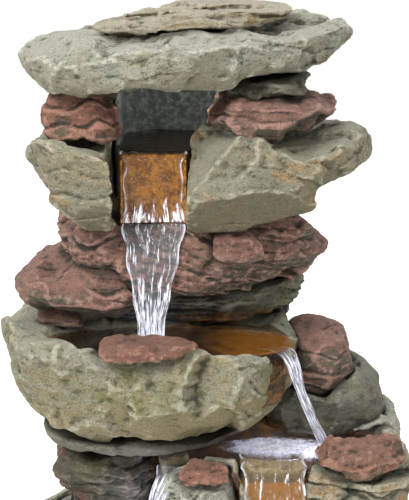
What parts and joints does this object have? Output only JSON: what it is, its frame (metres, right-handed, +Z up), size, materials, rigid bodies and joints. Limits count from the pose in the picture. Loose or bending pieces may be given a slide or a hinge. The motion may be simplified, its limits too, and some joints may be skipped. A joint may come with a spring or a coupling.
{
  "type": "tabletop water fountain",
  "caption": "Tabletop cascading rock fountain: stacked cast stones with a header tank, a spillway, two bowls and a base tub fed by a hidden pump, lit under water.",
  "frame": {"origin": "middle of the fountain's footprint, on the table under its feet", "axes": "+Z up, -Y towards the front where the water falls, +X to the right seen from the front"},
  "size_m": [0.246, 0.2, 0.4],
  "materials": {
    "grey_stone": "matte",
    "tan_stone": "matte",
    "red_stone": "matte",
    "dark_stone": "matte",
    "moss_stone": "matte",
    "charcoal_tank": "satin",
    "amber_glaze": "gloss",
    "black_plastic": "satin",
    "lead_sheath": "satin",
    "rubber": "matte",
    "clear_tube": "gloss",
    "lamp_lens": "gloss",
    "shaft_steel": "satin",
    "water": "gloss"
  },
  "bodies": {
    "root": {"base_basin": "tan_stone", "lower_column": "dark_stone", "upper_bowl": "grey_stone", "weir_stone": "tan_stone", "front_grey_stone": "grey_stone", "front_right_stone": "tan_stone", "lower_bowl": "tan_stone", "bowl_ledge_stone": "grey_stone", "left_pillar_stone": "dark_stone", "left_moss_stone": "moss_stone", "rim_red_stone_left": "red_stone", "rim_red_stone_right": "red_stone", "round_red_stone": "red_stone", "flank_stone_upper": "grey_stone", "flank_stone_lower": "grey_stone", "flat_red_stone": "red_stone", "striated_stone": "dark_stone", "left_brown_stone": "red_stone", "left_red_stone": "red_stone", "red_band_stone": "red_stone", "red_inset_stone": "red_stone", "slab_stone_left": "tan_stone", "slab_stone_right": "tan_stone", "upper_red_stone_left": "red_stone", "upper_red_stone_right": "red_stone", "upper_dark_stone": "dark_stone", "upper_back_stone": "grey_stone", "cap_slab": "grey_stone", "cap_top_stone": "tan_stone", "header_tank": "charcoal_tank", "spillway_plate": "amber_glaze", "lower_spillway_plate": "amber_glaze", "pump_body": "black_plastic", "pump_shaft": "shaft_steel", "suction_cup_front_left": "rubber", "suction_cup_back_left": "rubber", "suction_cup_front_right": "rubber", "suction_cup_back_right": "rubber", "riser_tube": "clear_tube", "tank_fitting": "black_plastic", "upper_lamp_housing": "black_plastic", "upper_lamp_lens": "lamp_lens", "lower_lamp_housing": "black_plastic", "lower_lamp_lens": "lamp_lens", "base_lamp_housing": "black_plastic", "base_lamp_lens": "lamp_lens", "upper_lamp_lead": "lead_sheath", "lower_lamp_lead": "lead_sheath", "base_lamp_lead": "lead_sheath", "pump_lead": "lead_sheath", "splice_block": "black_plastic", "inlet_socket": "black_plastic", "foot_front_left": "rubber", "foot_back_left": "rubber", "foot_front_right": "rubber", "foot_back_right": "rubber"},
    "hatch": {"access_door": "dark_stone"},
    "intake": {"pump_intake_cover": "black_plastic"},
    "regulator": {"pump_flow_regulator": "black_plastic"},
    "rotor": {"pump_impeller": "black_plastic"}
  },
  "joints": [
    {"name": "hatch_slide", "type": "slide", "parent": "root", "child": "hatch", "axis": [0, 1, 0], "range_m": [0, 0.045]},
    {"name": "intake_cover_slide", "type": "slide", "parent": "root", "child": "intake", "axis": [-1, 0, 0], "range_m": [0, 0.012]},
    {"name": "regulator_turn", "type": "hinge", "parent": "intake", "child": "regulator", "pos_m": [-0.0432, 0.041, 0.038], "axis": [1, 0, 0], "range_deg": [0, 90]},
    {"name": "impeller_spin", "type": "hinge", "parent": "root", "child": "rotor", "pos_m": [0, 0.041, 0.038], "axis": [1, 0, 0], "continuous": true}
  ]
}
